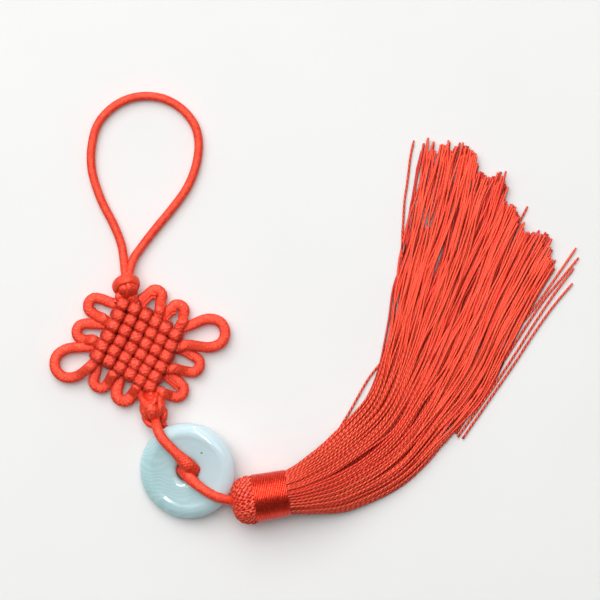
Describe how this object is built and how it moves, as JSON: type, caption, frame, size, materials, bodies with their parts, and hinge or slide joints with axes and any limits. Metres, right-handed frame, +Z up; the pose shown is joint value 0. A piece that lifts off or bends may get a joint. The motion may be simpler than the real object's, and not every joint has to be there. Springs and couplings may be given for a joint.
{
  "type": "chinese knot tassel",
  "caption": "Red knotted cord ornament lying flat: hanging loop, woven square knot with cord ears, pale glass ring and a bound tassel fanned out to the side.",
  "frame": {"origin": "centre of the lying object's box in plan, without its free cords, on the surface it lies on", "axes": "+Z up from the surface, +Y from the knot toward the hanging loop, +X from the knot toward the tassel"},
  "size_m": [0.1604, 0.1335, 0.0137],
  "materials": {
    "knotting_cord": "braided satin cord",
    "milky_glass": "polished, milky",
    "tassel_strands": "twisted satin thread",
    "binding_thread": "fine glossy thread"
  },
  "bodies": {
    "root": {"pan_chang_knot": "knotting_cord", "hanging_loop": "knotting_cord", "ring_loop": "knotting_cord", "glass_ring": "milky_glass", "head_loop": "knotting_cord", "tassel": "tassel_strands", "tassel_binding": "binding_thread"}
  },
  "joints": []
}
